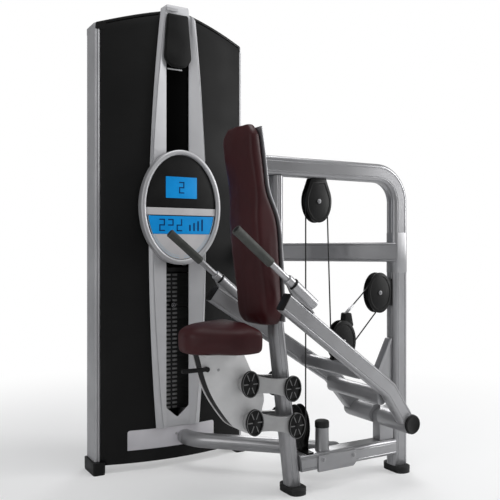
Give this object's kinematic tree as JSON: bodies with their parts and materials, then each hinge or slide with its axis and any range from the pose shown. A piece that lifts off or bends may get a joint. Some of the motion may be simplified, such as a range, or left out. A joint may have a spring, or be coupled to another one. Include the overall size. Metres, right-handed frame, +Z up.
{
  "type": "seated chest press machine",
  "caption": "Seated arm press gym machine: two levers pushed down beside a seat haul a pulley block whose cable lifts a shrouded weight stack.",
  "frame": {"origin": "centre of the whole machine's footprint box, on the floor", "axes": "+Z up; the seated user faces -X; +Y points from the seat frame to the weight tower"},
  "size_m": [1.0376, 0.8611, 1.747],
  "materials": {
    "silver_powder_coat": "satin metallic",
    "cast_aluminium": "matte, cast and painted",
    "chromed_steel": "polished",
    "black_shroud": "smooth, low gloss",
    "black_plastic": "moulded, fine grain",
    "black_rubber": "matte",
    "maroon_vinyl": "dull coated cloth with a fine grain",
    "black_iron": "painted",
    "coated_cable": "smooth nylon coat over steel rope",
    "blue_display": "smooth, lit",
    "grip_rubber": "matte"
  },
  "bodies": {
    "frame": {"tower_left_column": "silver_powder_coat", "tower_right_column": "silver_powder_coat", "tower_left_panel": "black_shroud", "tower_right_panel": "black_shroud", "tower_back_panel": "black_shroud", "kick_plate": "silver_powder_coat", "tower_base": "black_plastic", "tower_top_cap": "black_plastic", "spine_bezel": "silver_powder_coat", "spine_cover": "black_plastic", "spine_window": "black_shroud", "console_housing": "black_shroud", "display_panel": "blue_display", "stack_frame": "chromed_steel", "idle_plates": "black_iron", "main_frame_tube": "silver_powder_coat", "front_column": "silver_powder_coat", "tie_bar": "silver_powder_coat", "base_rail": "silver_powder_coat", "connecting_tube": "silver_powder_coat", "front_foot": "black_rubber", "rear_foot": "black_rubber", "bump_stop": "silver_powder_coat", "lever_bracket": "silver_powder_coat", "upper_pulley_cover": "black_plastic", "rear_pulley_cover": "black_plastic", "lower_pulley_cover": "black_plastic", "lift_cable": "coated_cable", "upper_column_pin": "black_plastic", "lower_column_pin": "black_plastic", "backrest_pad": "maroon_vinyl", "backrest_plate": "silver_powder_coat"},
    "press_lever": {"near_arm": "silver_powder_coat", "far_arm": "silver_powder_coat", "lever_upper_tube": "silver_powder_coat", "lever_lower_tube": "silver_powder_coat", "near_pivot_cap": "black_plastic", "far_pivot_cap": "black_plastic", "near_handle_socket": "chromed_steel", "far_handle_socket": "chromed_steel", "near_handle": "grip_rubber", "far_handle": "grip_rubber"},
    "floating_block": {"floating_block": "black_plastic"},
    "floating_wheel": {"floating_pulley": "black_plastic"},
    "upper_wheel": {"upper_pulley": "black_plastic"},
    "rear_wheel": {"rear_pulley": "black_plastic"},
    "lower_wheel": {"lower_pulley": "black_plastic"},
    "tower_low_wheel": {"tower_low_pulley": "black_plastic"},
    "top_middle_wheel": {"top_middle_pulley": "black_plastic"},
    "top_side_wheel": {"top_side_pulley": "black_plastic"},
    "lifted_stack": {"selected_plates": "black_iron", "stack_head": "black_iron"},
    "selector": {"selector_pin": "black_plastic"},
    "upper_seat_link": {"upper_link": "cast_aluminium"},
    "lower_seat_link": {"lower_link": "cast_aluminium"},
    "seat": {"seat_bracket": "cast_aluminium", "seat_pad": "maroon_vinyl", "upper_seat_pin": "black_plastic", "lower_seat_pin": "black_plastic"},
    "release": {"seat_release_lever": "black_plastic"}
  },
  "joints": [
    {"name": "press_lever_pivot", "type": "hinge", "parent": "frame", "child": "press_lever", "pos_m": [0.40675, -0.17555, 0.215], "axis": [0, -1, 0], "range_deg": [0, 34], "deforming": ["lift_cable"]},
    {"name": "block_swivel", "type": "hinge", "parent": "press_lever", "child": "floating_block", "pos_m": [0.18675, -0.17555, 0.414], "axis": [0, -1, 0], "range_deg": [-34, 0]},
    {"name": "floating_wheel_spin", "type": "hinge", "parent": "floating_block", "child": "floating_wheel", "pos_m": [0.22825, -0.17555, 0.497], "axis": [0, -1, 0], "range_deg": [0, 413]},
    {"name": "upper_wheel_spin", "type": "hinge", "parent": "frame", "child": "upper_wheel", "pos_m": [0.12025, -0.17555, 0.988], "axis": [0, 1, 0], "range_deg": [0, 587]},
    {"name": "rear_wheel_spin", "type": "hinge", "parent": "frame", "child": "rear_wheel", "pos_m": [0.39425, -0.17555, 0.664], "axis": [0, -1, 0], "range_deg": [0, 207]},
    {"name": "lower_wheel_spin", "type": "hinge", "parent": "frame", "child": "lower_wheel", "pos_m": [0.07475, -0.13025, 0.207], "axis": [-1, 0, 0], "range_deg": [0, 587]},
    {"name": "tower_low_wheel_spin", "type": "hinge", "parent": "frame", "child": "tower_low_wheel", "pos_m": [0.04175, 0.37445, 0.1917], "axis": [-1, 0, 0], "range_deg": [0, 886]},
    {"name": "top_middle_wheel_spin", "type": "hinge", "parent": "frame", "child": "top_middle_wheel", "pos_m": [-0.17075, 0.37445, 1.5], "axis": [0, 1, 0], "range_deg": [0, 886]},
    {"name": "top_side_wheel_spin", "type": "hinge", "parent": "frame", "child": "top_side_wheel", "pos_m": [0.01175, 0.37445, 1.5], "axis": [0, 1, 0], "range_deg": [0, 886]},
    {"name": "stack_lift", "type": "slide", "parent": "frame", "child": "lifted_stack", "axis": [0, 0, 1], "range_m": [0, 0.464]},
    {"name": "selector_pull", "type": "slide", "parent": "lifted_stack", "child": "selector", "axis": [0, -1, 0], "range_m": [0, 0.028]},
    {"name": "upper_seat_link_pivot", "type": "hinge", "parent": "frame", "child": "upper_seat_link", "pos_m": [-0.01625, -0.17555, 0.363], "axis": [0, 1, 0], "range_deg": [-35, 12]},
    {"name": "lower_seat_link_pivot", "type": "hinge", "parent": "frame", "child": "lower_seat_link", "pos_m": [-0.00025, -0.17555, 0.239], "axis": [0, 1, 0], "range_deg": [-35, 12]},
    {"name": "seat_pivot", "type": "hinge", "parent": "upper_seat_link", "child": "seat", "pos_m": [-0.17825, -0.17555, 0.393], "axis": [0, 1, 0], "range_deg": [-12, 35]},
    {"name": "seat_release", "type": "hinge", "parent": "seat", "child": "release", "pos_m": [-0.32225, -0.21205, 0.45], "axis": [0, 1, 0], "range_deg": [0, 12], "stiffness_Nm_per_rad": 2}
  ],
  "couplings": [
    {"joint": "block_swivel", "follows": "press_lever_pivot", "ratio": -1},
    {"joint": "floating_wheel_spin", "follows": "press_lever_pivot", "ratio": 12.13},
    {"joint": "upper_wheel_spin", "follows": "press_lever_pivot", "ratio": 17.25},
    {"joint": "rear_wheel_spin", "follows": "press_lever_pivot", "ratio": 6.07},
    {"joint": "lower_wheel_spin", "follows": "press_lever_pivot", "ratio": 17.25},
    {"joint": "tower_low_wheel_spin", "follows": "press_lever_pivot", "ratio": 26.05},
    {"joint": "top_middle_wheel_spin", "follows": "press_lever_pivot", "ratio": 26.05},
    {"joint": "top_side_wheel_spin", "follows": "press_lever_pivot", "ratio": 26.05},
    {"joint": "stack_lift", "follows": "press_lever_pivot", "m_per_rad": 0.7814},
    {"joint": "lower_seat_link_pivot", "follows": "upper_seat_link_pivot", "ratio": 1},
    {"joint": "seat_pivot", "follows": "upper_seat_link_pivot", "ratio": -1}
  ]
}
